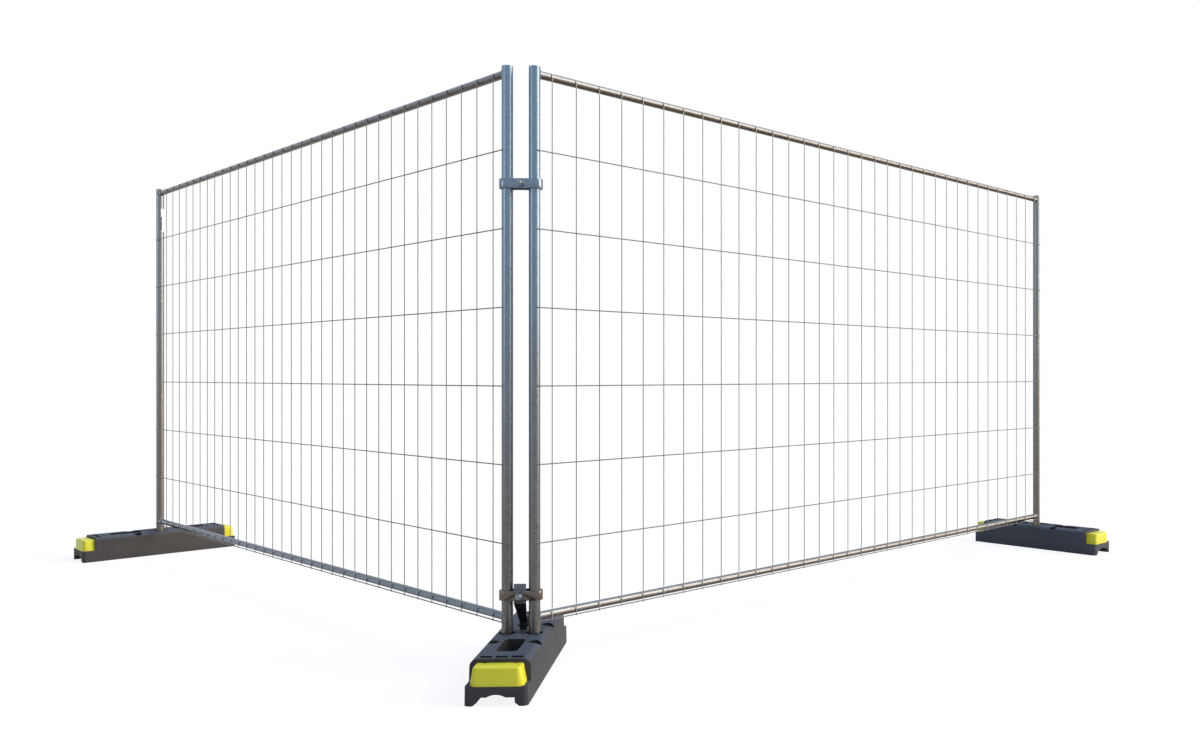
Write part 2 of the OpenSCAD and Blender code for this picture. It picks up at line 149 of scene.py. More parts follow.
def galvanisedSteel(name, look):
    material, tree, shader, spot = startMaterial(name, {"Metallic": look["metallic"]})
    height = addNode(tree, "ShaderNodeSeparateXYZ", links={0: spot}).outputs["Z"]
    facing = addNode(tree, "ShaderNodeNewGeometry").outputs["Normal"]
    upward = addNode(tree, "ShaderNodeSeparateXYZ", links={0: facing}).outputs["Z"]
    patch = addNode(tree, "ShaderNodeTexNoise",
                    values={"Scale": perMetre(look["patchMm"]), "Detail": 3},
                    links={"Vector": spot}).outputs["Fac"]
    turned = addNode(tree, "ShaderNodeMath", {"operation": "MULTIPLY_ADD"},
                     {1: look["tilt"]}, {0: upward, 2: height})
    level = addNode(tree, "ShaderNodeMath", {"operation": "MULTIPLY_ADD"},
                    {1: look["patchRise"]}, {0: patch, 2: turned.outputs[0]})
    lift = look["patchRise"] / 2        # the patches' mean
    paintedSkyShare = addNode(tree, "ShaderNodeMapRange", {"interpolation_type": "SMOOTHSTEP"},
                      {"From Min": look["dustLightLow"] + lift, "From Max": look["dustLightHigh"] + lift},
                      {"Value": level.outputs[0]})
    # painted reflection: dust with painted ground reflection low down, clean zinc with painted sky
    # reflection higher up
    zinc = addNode(tree, "ShaderNodeMix", {"data_type": "RGBA"},
                   {6: linearColour(look["dustWithPaintedLight"]), 7: linearColour(look["cleanWithPaintedSky"])},
                   {0: paintedSkyShare.outputs[0]})
    # painted shade on faces that look down
    below = addNode(tree, "ShaderNodeMapRange", {"interpolation_type": "SMOOTHSTEP"},
                    {"From Min": look["underFrom"], "From Max": look["underFull"]},
                    {"Value": upward})
    shaded = addNode(tree, "ShaderNodeMix", {"data_type": "RGBA"},
                     {7: linearColour(look["under"])}, {0: below.outputs[0], 6: zinc.outputs[2]})
    # each crystal of the spangle is lighter or darker, and runs of the dip streak along the tube
    cells = addNode(tree, "ShaderNodeTexVoronoi",
                    values={"Scale": perMetre(look["spangleMm"])}, links={"Vector": spot})
    sheen = addNode(tree, "ShaderNodeSeparateColor", links={0: cells.outputs["Color"]}).outputs[0]
    drawn = addNode(tree, "ShaderNodeMapping", values={"Scale": look["stretch"]},
                    links={"Vector": spot})
    streak = addNode(tree, "ShaderNodeTexNoise",
                     values={"Scale": perMetre(look["streakMm"]), "Detail": 4},
                     links={"Vector": drawn.outputs[0]}).outputs["Fac"]
    uneven = addNode(tree, "ShaderNodeMath", {"operation": "MULTIPLY"}, links={0: sheen, 1: streak})
    glint = addNode(tree, "ShaderNodeMath", {"operation": "MULTIPLY"},
                    {1: look["spangle"]}, {0: uneven.outputs[0]})
    colour = addNode(tree, "ShaderNodeMix", {"data_type": "RGBA"},
                     {7: linearColour(look["bright"])}, {0: glint.outputs[0], 6: shaded.outputs[2]})
    # painted light: near each listed height the colour turns to the rail's lit tone
    for centre in look["railLightHeights"]:
        above = addNode(tree, "ShaderNodeMath", {"operation": "SUBTRACT"}, {1: centre}, {0: height})
        away = addNode(tree, "ShaderNodeMath", {"operation": "ABSOLUTE"}, links={0: above.outputs[0]})
        railLightBand = addNode(tree, "ShaderNodeMapRange", {"interpolation_type": "SMOOTHSTEP"},
                          {"From Min": look["railLightFade"], "From Max": look["railLightReach"]},
                          {"Value": away.outputs[0]})
        colour = addNode(tree, "ShaderNodeMix", {"data_type": "RGBA"},
                         {7: linearColour(look["railLightTone"])},
                         {0: railLightBand.outputs[0], 6: colour.outputs[2]})
    tree.links.new(colour.outputs[2], shader.inputs["Base Color"])
    dull = addNode(tree, "ShaderNodeMapRange",
                   values={"To Min": look["smooth"], "To Max": look["rough"]},
                   links={"Value": streak})
    rough = addNode(tree, "ShaderNodeMath", {"operation": "MULTIPLY_ADD"},
                    {1: look["spangleRough"]}, {0: sheen, 2: dull.outputs[0]})
    tree.links.new(rough.outputs[0], shader.inputs["Roughness"])
    addGrain(tree, shader, spot, look)
    return material


# moulded recycled plastic: charcoal with paler granules, dusty sides, a painted bluish sky reflection
# on its top, scuffed along its edges and painted shade in its hollows
mouldedLook = {
    "body": "#3c3d40", "pale": "#484847", "top": "#464e5a",
    "fleck": "#6a6966", "scuff": "#6a6967", "grimeAndShade": "#1b1b1d",
    "mottleMm": 90, "mottleFrom": 0.35, "mottleTo": 0.75, "mottleShare": 0.55,
    "topFrom": 0.35, "topTo": 0.95,        # the upward look where the top's painted sky reflection starts and is full
    "fleckMm": 3, "fleckFrom": 0.9, "fleckTo": 0.96, "fleckShare": 0.28,
    "hollowShadeFrom": 0.1, "hollowShadeTo": 0.55, "hollowShadeShare": 0.75,        # how closed in a face is, for its painted shade
    "ior": 1.5, "shine": 0.12, "smooth": 0.5, "rough": 0.78,
    "grainMm": 1.4, "grainDetail": 3, "relief": 0.3, "reliefDepth": 0.0008,
}


def mouldedPlastic(name, look):
    material, tree, shader, spot = startMaterial(
        name, {"IOR": look["ior"], "Specular IOR Level": look["shine"]})
    mottle = addNode(tree, "ShaderNodeTexNoise",
                     values={"Scale": perMetre(look["mottleMm"]), "Detail": 6},
                     links={"Vector": spot}).outputs["Fac"]
    spread = addNode(tree, "ShaderNodeMapRange",
                     values={"From Min": look["mottleFrom"], "From Max": look["mottleTo"],
                             "To Max": look["mottleShare"]},
                     links={"Value": mottle})
    sides = addNode(tree, "ShaderNodeMix", {"data_type": "RGBA"},
                    {6: linearColour(look["body"]), 7: linearColour(look["pale"])},
                    {0: spread.outputs[0]})
    facing = addNode(tree, "ShaderNodeNewGeometry").outputs["Normal"]
    upward = addNode(tree, "ShaderNodeSeparateXYZ", links={0: facing}).outputs["Z"]
    # painted sky reflection: faces that look up are drawn bluer
    skyOnTop = addNode(tree, "ShaderNodeMapRange", {"interpolation_type": "SMOOTHSTEP"},
                     {"From Min": look["topFrom"], "From Max": look["topTo"]}, {"Value": upward})
    base = addNode(tree, "ShaderNodeMix", {"data_type": "RGBA"},
                   {7: linearColour(look["top"])}, {0: skyOnTop.outputs[0], 6: sides.outputs[2]})
    cells = addNode(tree, "ShaderNodeTexVoronoi",
                    values={"Scale": perMetre(look["fleckMm"])}, links={"Vector": spot})
    chance = addNode(tree, "ShaderNodeSeparateColor", links={0: cells.outputs["Color"]}).outputs[1]
    flecks = addNode(tree, "ShaderNodeMapRange",
                     values={"From Min": look["fleckFrom"], "From Max": look["fleckTo"],
                             "To Max": look["fleckShare"]},
                     links={"Value": chance})
    speckled = addNode(tree, "ShaderNodeMix", {"data_type": "RGBA"},
                       {7: linearColour(look["fleck"])}, {0: flecks.outputs[0], 6: base.outputs[2]})
    wear = addNode(tree, "ShaderNodeAttribute", {"attribute_name": "edgeWear"}).outputs["Fac"]
    worn = addNode(tree, "ShaderNodeMath", {"operation": "MULTIPLY"}, links={0: wear, 1: mottle})
    scuffed = addNode(tree, "ShaderNodeMix", {"data_type": "RGBA"},
                      {7: linearColour(look["scuff"])}, {0: worn.outputs[0], 6: speckled.outputs[2]})
    hollow = addNode(tree, "ShaderNodeAttribute", {"attribute_name": "hollow"}).outputs["Fac"]
    # painted shade: darker where walls close in round a face
    hollowShade = addNode(tree, "ShaderNodeMapRange",
                      values={"From Min": look["hollowShadeFrom"], "From Max": look["hollowShadeTo"],
                              "To Max": look["hollowShadeShare"]},
                      links={"Value": hollow})
    colour = addNode(tree, "ShaderNodeMix", {"data_type": "RGBA"},
                     {7: linearColour(look["grimeAndShade"])},
                     {0: hollowShade.outputs[0], 6: scuffed.outputs[2]})
    tree.links.new(colour.outputs[2], shader.inputs["Base Color"])
    rough = addNode(tree, "ShaderNodeMapRange",
                    values={"To Min": look["smooth"], "To Max": look["rough"]},
                    links={"Value": mottle})
    tree.links.new(rough.outputs[0], shader.inputs["Roughness"])
    addGrain(tree, shader, spot, look)
    return material


# satin yellow polypropylene moulding, slightly uneven in tone, grubby in specks
capLook = {
    "yellow": "#e4e23d", "deep": "#d8d432", "grimeAndShade": "#a39f3a",
    "mottleMm": 60, "speckMm": 4, "speckFrom": 0.6, "speckTo": 0.8, "speckShare": 0.35,
    "ior": 1.49, "shine": 0.3, "coat": 0.1, "coatRough": 0.2, "smooth": 0.3, "rough": 0.5,
    "grainMm": 1.2, "grainDetail": 2, "relief": 0.08, "reliefDepth": 0.0005,
}


def yellowPlastic(name, look):
    material, tree, shader, spot = startMaterial(
        name, {"IOR": look["ior"], "Specular IOR Level": look["shine"],
               "Coat Weight": look["coat"], "Coat Roughness": look["coatRough"]})
    mottle = addNode(tree, "ShaderNodeTexNoise",
                     values={"Scale": perMetre(look["mottleMm"]), "Detail": 4},
                     links={"Vector": spot}).outputs["Fac"]
    tone = addNode(tree, "ShaderNodeMix", {"data_type": "RGBA"},
                   {6: linearColour(look["yellow"]), 7: linearColour(look["deep"])}, {0: mottle})
    speck = addNode(tree, "ShaderNodeTexNoise",
                    values={"Scale": perMetre(look["speckMm"]), "Detail": 5},
                    links={"Vector": spot}).outputs["Fac"]
    dirt = addNode(tree, "ShaderNodeMapRange",
                   values={"From Min": look["speckFrom"], "From Max": look["speckTo"],
                           "To Max": look["speckShare"]},
                   links={"Value": speck})
    colour = addNode(tree, "ShaderNodeMix", {"data_type": "RGBA"},
                     {7: linearColour(look["grimeAndShade"])}, {0: dirt.outputs[0], 6: tone.outputs[2]})
    tree.links.new(colour.outputs[2], shader.inputs["Base Color"])
    rough = addNode(tree, "ShaderNodeMapRange",
                    values={"To Min": look["smooth"], "To Max": look["rough"]},
                    links={"Value": mottle})
    tree.links.new(rough.outputs[0], shader.inputs["Roughness"])
    addGrain(tree, shader, spot, look)
    return material


# finishes that differ in colour and shine: clouded tone, a little grain, rougher where it is lighter
plainLook = {"metallic": 0.0, "smooth": 0.25, "rough": 0.4, "grainDetail": 3, "reliefDepth": 0.0005}


def plainFinish(name, look):
    material, tree, shader, spot = startMaterial(name, {"Metallic": look["metallic"]})
    cloud = addNode(tree, "ShaderNodeTexNoise",
                    values={"Scale": perMetre(look["cloudMm"]), "Detail": 5},
                    links={"Vector": spot}).outputs["Fac"]
    colour = addNode(tree, "ShaderNodeMix", {"data_type": "RGBA"},
                     {6: linearColour(look["dark"]), 7: linearColour(look["light"])}, {0: cloud})
    tree.links.new(colour.outputs[2], shader.inputs["Base Color"])
    rough = addNode(tree, "ShaderNodeMapRange",
                    values={"To Min": look["smooth"], "To Max": look["rough"]},
                    links={"Value": cloud})
    tree.links.new(rough.outputs[0], shader.inputs["Roughness"])
    addGrain(tree, shader, spot, look)
    return material


# electroplated zinc: smoother and more even than the dip, with a cold grey shine
zincPlate = plainFinish("zincPlatedSteel", dict(
    plainLook, dark="#525c66", light="#8d98a2", metallic=0.85, smooth=0.16, rough=0.28,
    cloudMm=8, grainMm=0.8, relief=0.1))
# weld metal under cold zinc paint: rough, and paler than the tube
weldMetal = plainFinish("zincPaintedWeld", dict(
    plainLook, dark="#60676e", light="#959ca3", metallic=0.6, smooth=0.4, rough=0.6,
    cloudMm=5, grainMm=0.9, relief=0.4))
# self-adhesive vinyl: even and softly shiny
vinylLook = dict(plainLook, cloudMm=30, grainMm=3, relief=0.05)
labelVinyl = plainFinish("whiteVinyl", dict(vinylLook, dark="#e4e6e8", light="#f4f5f5"))
labelBlue = plainFinish("blueVinyl", dict(vinylLook, dark="#24405f", light="#2f5176"))
# the far posts' zinc is drawn greyer and duller than that of the corner posts
postSteel = {
    "corner_post": galvanisedSteel("galvanisedPostTube", postLook),
    "far_post": galvanisedSteel("greyerPostTube", dict(
        postLook, cleanWithPaintedSky="#6c7780", dustWithPaintedLight="#635f59", rough=0.42)),
}
# rail tube is a little smoother than the posts; the left panel's rails are bluer with painted sky
# reflection, the right panel's greyer and duller
railLook = dict(postLook, under="#4a3f34", stretch=(1, 1, 1), dustLightHigh=1.6, smooth=0.24, rough=0.32)
railSteel = {
    "left": galvanisedSteel("skyPaintedRailTube", dict(railLook, cleanWithPaintedSky="#646d78", dustWithPaintedLight="#667282")),
    "right": galvanisedSteel("greyerRailTube", dict(
        railLook, cleanWithPaintedSky="#666a6d", dustWithPaintedLight="#6a6c6e", smooth=0.3, rough=0.42)),
}
# thin wire weathers darker than the tubes; across each rail the uprights carry painted light in that
# rail's tone, a pale painted highlight on the lit right panel and a darker tone on the shaded left
# one
wireLook = dict(postLook, cleanWithPaintedSky="#4c5054", dustWithPaintedLight="#4a4845", spangleMm=5, stretch=(1, 1, 1),
                dustLightHigh=1.6, metallic=0.3)
railLightWireLook = dict(wireLook, railLightReach=0.014, railLightFade=0.034,        # full so near, gone so far
                   railLightHeights=(middle("left_top_rail").z, middle("left_bottom_rail").z))
wireSteel = {
    "level": galvanisedSteel("galvanisedLevelWire", wireLook),
    "left": galvanisedSteel("leftRailLightUprightWire", dict(railLightWireLook, railLightTone="#787c80")),
    "right": galvanisedSteel("rightRailLightUprightWire", dict(railLightWireLook, railLightTone="#a8a7a1")),
}
# dipped flat steel: smoother than the tubes, so its bends catch a brighter edge
strapSteel = galvanisedSteel("galvanisedStrap", dict(
    postLook, cleanWithPaintedSky="#60748a", dustWithPaintedLight="#574f46", spangleMm=6, stretch=(1, 1, 1), dustLightHigh=1.6,
    smooth=0.2, rough=0.3))
# a flat bar, grey above the coupler and near black below it, darkest underneath: black enamel, with
# painted shade where it runs down under the coupler
barSteel = galvanisedSteel("blackBarWithPaintedShade", dict(
    postLook, cleanWithPaintedSky="#565c62", dustWithPaintedLight="#1c1d21", under="#141416", bright="#6b7075",
    dustLightLow=0.22, dustLightHigh=0.27, tilt=0, patchMm=20, patchRise=0.06, spangleMm=4,
    stretch=(1, 1, 1), metallic=0.1))
# the far feet are drawn lighter: the left one warmer with painted sunlight, the right one bluer with
# painted sky light on its shaded side
blockPlastic = {
    "corner": mouldedPlastic("mouldedCharcoalPlastic", mouldedLook),
    "left": mouldedPlastic("sunPaintedCharcoalPlastic", dict(
        mouldedLook, body="#464544", pale="#53514f", top="#505863")),
    "right": mouldedPlastic("skyPaintedCharcoalPlastic", dict(
        mouldedLook, body="#4a4d53", pale="#56595f", top="#4a5360")),
}
capPlastic = yellowPlastic("mouldedYellowPlastic", capLook)
print("materials made:", len(bpy.data.materials))


# tubes and wires keep their solids and take a finish

def finishNode(name, material):
    mesh = nodes[name].data
    mesh.materials.clear()
    mesh.materials.append(material)


for side in ("left", "right"):
    for part, steel in postSteel.items():
        finishNode(side + "_" + part, steel)
    for part in railParts:
        finishNode(side + "_" + part, railSteel[side])
    finishNode(side + "_upright_wires", wireSteel[side])
    finishNode(side + "_level_wires", wireSteel["level"])
print("tubes and wires finished")


# pieces

meshCare = {"sharpDeg": 40, "flatDeg": 0.6, "mergeGap": 1e-5, "seamGap": 1e-6}        # gaps in metres


def shownPiece(name, bm, material, body, stoodFor=()):
    mesh = bpy.data.meshes.new(name)
    for face in bm.faces:
        face.smooth = True
    bm.to_mesh(mesh)
    bm.free()
    mesh.set_sharp_from_angle(angle=math.radians(meshCare["sharpDeg"]))
    mesh.materials.append(material)
    piece = bpy.data.objects.new(name, mesh)
    bpy.context.scene.collection.objects.link(piece)
    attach(piece, body)
    if stoodFor:
        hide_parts(*stoodFor)


def solidCopy(node):
    bm = bmesh.new()
    bm.from_mesh(nodes[node].data)
    bmesh.ops.remove_doubles(bm, verts=bm.verts, dist=meshCare["mergeGap"])
    bmesh.ops.dissolve_limit(bm, angle_limit=math.radians(meshCare["flatDeg"]),
                             verts=bm.verts, edges=bm.edges)
    return bm


# the edges between two faces that meet at an angle between these two
def bentEdges(bm, leastDeg, mostDeg=180):
    least, most = math.radians(leastDeg), math.radians(mostDeg)
    return [e for e in bm.edges if len(e.link_faces) == 2 and least < e.calc_face_angle() < most]


# every sharp edge rounded; the rounded faces are remembered as wear
def roundEdges(bm, shape):
    rounded = bmesh.ops.bevel(bm, geom=bentEdges(bm, shape["sharpDeg"]), offset=shape["edgeRadius"],
                              offset_type="OFFSET", affect="EDGES", segments=shape["segments"],
                              profile=0.5, material=-1, clamp_overlap=True)
    wear = bm.loops.layers.float.new("edgeWear")
    for face in rounded["faces"]:
        for loop in face.loops:
            loop[wear] = 1.0
    return bm


# spins a section once round an axis and closes the seam
def spinRound(bm, section, axis, steps):
    bmesh.ops.spin(bm, geom=section, cent=(0, 0, 0), axis=axis, angle=math.tau, steps=steps,
                   use_merge=True)
    bmesh.ops.remove_doubles(bm, verts=bm.verts, dist=meshCare["seamGap"])
    bmesh.ops.recalc_face_normals(bm, faces=bm.faces)


# a half section (radius and height of each point) turned about Z
def turnedShape(section, steps, closed=False):
    bm = bmesh.new()
    points = [bm.verts.new((radius, 0, height)) for radius, height in section]
    nextPoints = points[1:] + points[:1] if closed else points[1:]
    lines = [bm.edges.new(pair) for pair in zip(points, nextPoints)]
    spinRound(bm, points + lines, (0, 0, 1), steps)
    return bm


def joinedShapes(shapes):
    whole = bmesh.new()
    for shape in shapes:
        scrap = bpy.data.meshes.new("scrap")
        shape.to_mesh(scrap)
        shape.free()
        whole.from_mesh(scrap)
        bpy.data.meshes.remove(scrap)
    return whole


def placedCopy(bm, place):
    copy = bm.copy()
    bmesh.ops.transform(copy, matrix=place, verts=copy.verts)
    return copy


# towards a heading from +X and a height above the level, in radians
def direction(heading, rise):
    return Vector((math.cos(heading) * math.cos(rise), math.sin(heading) * math.cos(rise),
                   math.sin(rise)))


blockShape = {"edgeRadius": 0.003, "segments": 3, "sharpDeg": 24}
hollowLook = {"reach": 0.14, "start": 1e-4,        # metres
              "heightDegs": (25, 50), "headings": 6}        # looks round each height
capShape = {"edgeRadius": 0.0015, "segments": 2, "sharpDeg": 40}


# painted shade falls where walls close in: a face's share of looks outward that meet the block again
def markHollows(bm, look):
    surface = BVHTree.FromBMesh(bm)
    hollow = bm.loops.layers.float.new("hollow")
    headings = [math.tau * i / look["headings"] for i in range(look["headings"])]
    looks = [direction(heading, math.radians(height))
             for height in look["heightDegs"] for heading in headings]
    for face in bm.faces:
        start = face.calc_center_median() + face.normal * look["start"]
        outward = face.normal.to_track_quat("Z", "Y")
        hits = [surface.ray_cast(start, outward @ towards, look["reach"])[0] for towards in looks]
        share = sum(hit is not None for hit in hits) / len(looks)
        for loop in face.loops:
            loop[hollow] = share
    return bm


footSolid = {
    "block": markHollows(roundEdges(solidCopy("corner_block"), blockShape), hollowLook),
    "front_cap": roundEdges(solidCopy("corner_front_cap"), capShape),
    "rear_cap": roundEdges(solidCopy("corner_rear_cap"), capShape),
}

# the top's diamond tread: low four-sided studs wherever the top is flat and whole
treadShape = {
    "across": 0.0085, "along": 0.017, "rise": 0.0009, "sides": 4,
    "studShare": 0.8, "topShare": 0.5, "sunkShare": 0.1,        # of its cell, its foot, its rise
    "probeShare": 0.9, "probeHeight": 0.01, "flatness": 1e-4,
}


def makeTread(block, look):
    low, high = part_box("corner_block")
    surface = BVHTree.FromBMesh(block)
    bm = bmesh.new()
    half = Vector((look["across"] / 2, look["along"] / 2, 0))
    steps = [int((high[i] - low[i]) / 2 / half[i]) for i in (0, 1)]
    probes = [Vector((half.x * i, half.y * j, 0)) * look["probeShare"]
              + Vector((0, 0, look["probeHeight"]))
              for i, j in ((1, 0), (-1, 0), (0, 1), (0, -1))]
    seat = Matrix.Translation((0, 0, 0.5 - look["sunkShare"]))
    for i in range(-steps[0], steps[0] + 1):
        for j in range(-steps[1], steps[1] + 1):
            if (i + j) % 2:
                continue        # neighbouring rows are staggered
            spot = Vector((half.x * i, half.y * j, high.z))
            hits = [surface.ray_cast(spot + probe, Vector((0, 0, -1)))[0] for probe in probes]
            if all(hit and hit.z > high.z - look["flatness"] for hit in hits):
                place = Matrix.Translation(spot) @ Matrix.Diagonal((half.x, half.y, look["rise"], 1))
                bmesh.ops.create_cone(bm, cap_ends=True, segments=look["sides"], depth=1,
                                      radius1=look["studShare"],
                                      radius2=look["studShare"] * look["topShare"],
                                      matrix=place @ seat)
    return bm


footSolid["tread"] = makeTread(footSolid["block"], treadShape)
studFaces = treadShape["sides"] + 2        # its sides and its two ends
print("tread studs per foot:", len(footSolid["tread"].faces) // studFaces)

for foot, place in footPlace.items():
    for part, solid in footSolid.items():
        isCap = part.endswith("cap")
        shownPiece(foot + "_" + part + "_moulding", placedCopy(solid, place),
                   capPlastic if isCap else blockPlastic[foot],
                   footBody[foot],
                   [] if part == "tread" else [foot + "_" + part])
for solid in footSolid.values():
    solid.free()
print("feet made")

strapShape = {"edgeRadius": 0.0012, "segments": 2, "sharpDeg": 30}
boltShape = {"shank": 0.007, "rim": 0.0014, "domeRings": 7, "threadPitch": 0.002,
             "threadDepth": 0.0008, "endChamfer": 0.0012, "steps": 40}
washerShape = {"hole": 0.0075, "chamfer": 0.0004, "steps": 40}
nutShape = {"corner": 0.0022, "cornerShare": 0.98,        # corners lie past this share of its reach
            "edgeRadius": 0.0005, "segments": 2, "sharpDeg": 18}


# lays a shape that was made about Z along a coupler's bolt, with its +Z to the front
def boltPlace(height):
    return Matrix.Translation((0, 0, height)) @ Matrix.Rotation(math.pi / 2, 4, "X")


def makeBolt(level, look):
    low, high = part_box(level + "_bolt")
    washerLow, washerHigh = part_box(level + "_washer")
    seat, crown = washerHigh.y, -high.y        # along the bolt, from back to front
    headRadius = (high.x - low.x) / 2
    domeHeight = seat - crown - look["rim"]
    domeRadius = (headRadius ** 2 + domeHeight ** 2) / (2 * domeHeight)
    sweep = math.asin(headRadius / domeRadius) / look["domeRings"]
    section = [(domeRadius * math.sin(sweep * i), crown + domeRadius * (1 - math.cos(sweep * i)))
               for i in range(look["domeRings"] + 1)]
    shank, pitch = look["shank"], look["threadPitch"]
    section += [(headRadius, seat), (shank, seat)]
    ridge, last = -washerLow.y, -low.y - look["endChamfer"]
    while ridge + pitch < last:        # the thread's ridges are rings
        section += [(shank, ridge), (shank - look["threadDepth"], ridge + pitch / 2)]
        ridge += pitch
    section += [(shank, last), (shank - look["endChamfer"], -low.y), (0, -low.y)]
    return placedCopy(turnedShape(section, look["steps"]), boltPlace((low.z + high.z) / 2))


def makeWasher(level, look):
    low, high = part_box(level + "_washer")
    inner, outer, cut = look["hole"], (high.x - low.x) / 2, look["chamfer"]
    back, front = -high.y, -low.y
    section = [(inner, back + cut), (inner, front - cut), (inner + cut, front), (outer - cut, front),
               (outer, front - cut), (outer, back + cut), (outer - cut, back), (inner + cut, back)]
    turned = turnedShape(section, look["steps"], closed=True)
    return placedCopy(turned, boltPlace((low.z + high.z) / 2))


def makeNut(level, look):
    bm = solidCopy(level + "_nut")
    axis = middle(level + "_nut")
    spread = {v: math.hypot(v.co.x - axis.x, v.co.z - axis.z) for v in bm.verts}
    reach = max(spread.values())
    corners = [v for v in bm.verts if spread[v] > look["cornerShare"] * reach]
    bmesh.ops.bevel(bm, geom=corners, offset=look["corner"], affect="VERTICES", segments=1,
                    profile=0.5, material=-1)
    return roundEdges(bm, look)


for level, body in couplerBody.items():
    for part in ("front_strap", "rear_strap"):
        node = level + "_" + part
        shownPiece(node + "_bent", roundEdges(solidCopy(node), strapShape), strapSteel, body,
                   [node])
    shownPiece(level + "_domed_bolt", makeBolt(level, boltShape), zincPlate, body,
               [level + "_bolt"])
    shownPiece(level + "_flat_washer", makeWasher(level, washerShape), strapSteel, body,
               [level + "_washer"])
    shownPiece(level + "_hex_nut", makeNut(level, nutShape), zincPlate, level + "_nut",
               [level + "_nut"])
print("couplers made")

# the flat bar is rounded at its two bends first, then lightly along all its edges
barShape = {"bendRadius": 0.01, "bendSegments": 5, "bendDegs": (20, 60),
            "levelShare": 0.99,        # a bend's edge runs across the bar, along X
            "edgeRadius": 0.0008, "segments": 2, "sharpDeg": 30}


def makeBar(look):
    bm = solidCopy("anti_lift_strap")
    bends = [e for e in bentEdges(bm, *look["bendDegs"])
             if abs((e.verts[1].co - e.verts[0].co).normalized().x) > look["levelShare"]]
    bmesh.ops.bevel(bm, geom=bends, offset=look["bendRadius"], offset_type="OFFSET", affect="EDGES",
                    segments=look["bendSegments"], profile=0.5, material=-1, clamp_overlap=True)
    return roundEdges(bm, look)


shownPiece("anti_lift_bar", makeBar(barShape), barSteel, "corner", ["anti_lift_strap"])
print("anti-lift bar made")


# welds of a panel: a rippled bead round each rail's end, and a nugget wherever a wire touches

weldShape = {"bead": 0.0032, "around": 28, "section": 7, "ripple": 0.2, "ripples": 13}
nuggetShape = {"uprights": 34, "rows": 7,        # counts of the wires; half sizes in metres
               "crossing": (0.0026, 0.0018, 0.0026), "onRail": (0.0022, 0.0016, 0.0042),
               "onPost": (0.0042, 0.0016, 0.0026)}


# a node's lowest and highest corner in a panel's own frame
def panelBox(side, part):
    back = panelPlace[side].inverted()
    spots = [back @ v.co for v in nodes[side + "_" + part].data.vertices]
    return [Vector([pick(spot[i] for spot in spots) for i in range(3)]) for pick in (min, max)]


def postRadius(side):
    low, high = panelBox(side, "far_post")
    return (high.x - low.x) / 2


def makeBead(look, railRadius, railBack, radius):
    bm = bmesh.new()
    bmesh.ops.create_circle(bm, segments=look["section"], radius=look["bead"])
    bmesh.ops.translate(bm, verts=bm.verts, vec=(0, railRadius, 0))
    spinRound(bm, bm.verts[:] + bm.edges[:], (1, 0, 0), look["around"])
    for vert in bm.verts:        # bent onto the post's side
        angle = math.atan2(vert.co.z, vert.co.y)
        ring = Vector((0, math.cos(angle), math.sin(angle))) * railRadius
        swell = 1 + look["ripple"] * math.sin(look["ripples"] * angle)
        across = ring.y + railBack
        seat = Vector((math.sqrt(radius ** 2 - across ** 2), railBack, 0))
        vert.co = ring + (vert.co - ring) * swell + seat
    return bm


def railWelds(side, look):
    farEnd = Matrix.Translation((panelSpan, 0, 0)) @ Matrix.Scale(-1, 4, (1, 0, 0))
    shapes = []
    for part in railParts:
        low, high = panelBox(side, part)
        middleLine = (low + high) / 2
        bead = makeBead(look, (high.z - low.z) / 2, middleLine.y, postRadius(side))
        raised = Matrix.Translation((0, 0, middleLine.z))
        for end in (Matrix(), farEnd):
            copy = placedCopy(bead, panelPlace[side] @ end @ raised)
            bmesh.ops.recalc_face_normals(copy, faces=copy.faces)
            shapes.append(copy)
        bead.free()
    return joinedShapes(shapes)


def addNugget(bm, side, spot, size):
    place = panelPlace[side] @ Matrix.Translation(spot) @ Matrix.Diagonal((*size, 1))
    bmesh.ops.create_icosphere(bm, subdivisions=1, radius=1, matrix=place)


def wireWelds(side, look):
    uprightLow, uprightHigh = panelBox(side, "upright_wires")
    levelLow, levelHigh = panelBox(side, "level_wires")
    halfUpright = (uprightHigh.y - uprightLow.y) / 2
    halfLevel = (levelHigh.y - levelLow.y) / 2
    pitch = (uprightHigh.x - uprightLow.x - 2 * halfUpright) / (look["uprights"] - 1)
    rise = (levelHigh.z - levelLow.z - 2 * halfLevel) / (look["rows"] - 1)
    uprightX = [uprightLow.x + halfUpright + pitch * i for i in range(look["uprights"])]
    rowZ = [levelLow.z + halfLevel + rise * i for i in range(look["rows"])]
    railZ = [sum(corner.z for corner in panelBox(side, part)) / 2 for part in railParts]
    bm = bmesh.new()
    for x in uprightX:
        for z in rowZ:
            addNugget(bm, side, (x, levelHigh.y, z), look["crossing"])
        for z in railZ:
            addNugget(bm, side, (x, uprightHigh.y, z), look["onRail"])
    for x in (0, panelSpan):
        for z in rowZ:
            addNugget(bm, side, (x, levelHigh.y, z), look["onPost"])
    return bm


for side in ("left", "right"):
    shownPiece(side + "_rail_welds", railWelds(side, weldShape), weldMetal, side + "_panel")
    shownPiece(side + "_wire_welds", wireWelds(side, nuggetShape), weldMetal, side + "_panel")
print("welds made")


# a blank sticker wrapped part of the way round the left far post, with a plain blue field

labelShape = {"thickness": 0.00015, "steps": 12}
labelSheets = {        # heights in metres, degrees from +X, lift off the post in thicknesses
    "blank_label": {"low": 1.784, "high": 1.911, "fromDeg": -51, "toDeg": 38, "lift": 2,
                    "vinyl": labelVinyl},
    "label_blue_field": {"low": 1.79, "high": 1.864, "fromDeg": -50, "toDeg": -36, "lift": 4,
                         "vinyl": labelBlue},
}


